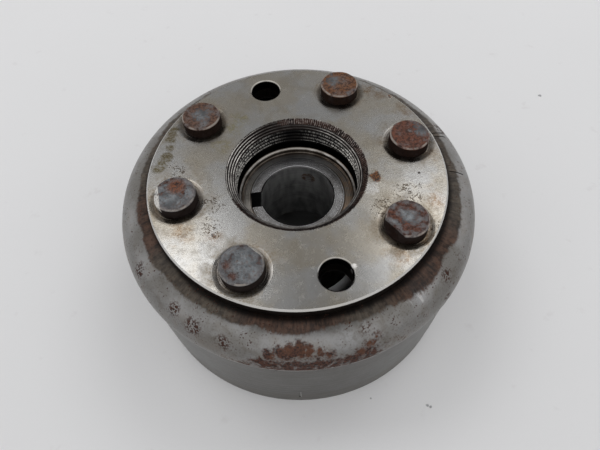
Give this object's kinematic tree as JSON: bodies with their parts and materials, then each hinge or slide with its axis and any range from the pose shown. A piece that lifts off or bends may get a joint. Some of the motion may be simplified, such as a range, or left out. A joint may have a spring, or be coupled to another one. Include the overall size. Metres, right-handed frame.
{
  "type": "flywheel",
  "caption": "Small engine magneto flywheel: cup-shaped steel rotor riveted to a flanged hub with a puller thread, tapered keyed bore and arc magnets inside the open cup.",
  "frame": {"origin": "on the crank axis in the plane of the cup's open rim", "axes": "+Z along the crank axis from the open rim to the nut and puller side, -X from the axis towards the middle of the keyway"},
  "size_m": [0.0772, 0.0772, 0.0399],
  "materials": {
    "cup_steel": "worn drawn and turned steel, stained and rust-freckled",
    "hub_steel": "worn satin machined steel with brown stains",
    "rivet_steel": "rusty plain steel",
    "liner_steel": "thin rolled stainless sheet",
    "ferrite": "dark ground ferrite",
    "moulded_plastic": "oil-stained moulded plastic",
    "resin": "cured amber-brown resin"
  },
  "bodies": {
    "root": {"backing_ring": "moulded_plastic", "hub": "hub_steel", "magnet_1": "ferrite", "magnet_2": "ferrite", "magnet_3": "ferrite", "magnet_4": "ferrite", "magnet_5": "ferrite", "magnet_6": "ferrite", "magnet_liner": "liner_steel", "magnet_spacer_1": "moulded_plastic", "magnet_spacer_2": "moulded_plastic", "magnet_spacer_3": "moulded_plastic", "magnet_spacer_4": "moulded_plastic", "magnet_spacer_5": "moulded_plastic", "magnet_spacer_6": "moulded_plastic", "resin_bead": "resin", "rivet_1": "rivet_steel", "rivet_2": "rivet_steel", "rivet_3": "rivet_steel", "rivet_4": "rivet_steel", "rivet_5": "rivet_steel", "rivet_6": "rivet_steel", "rotor_cup": "cup_steel"}
  },
  "joints": []
}
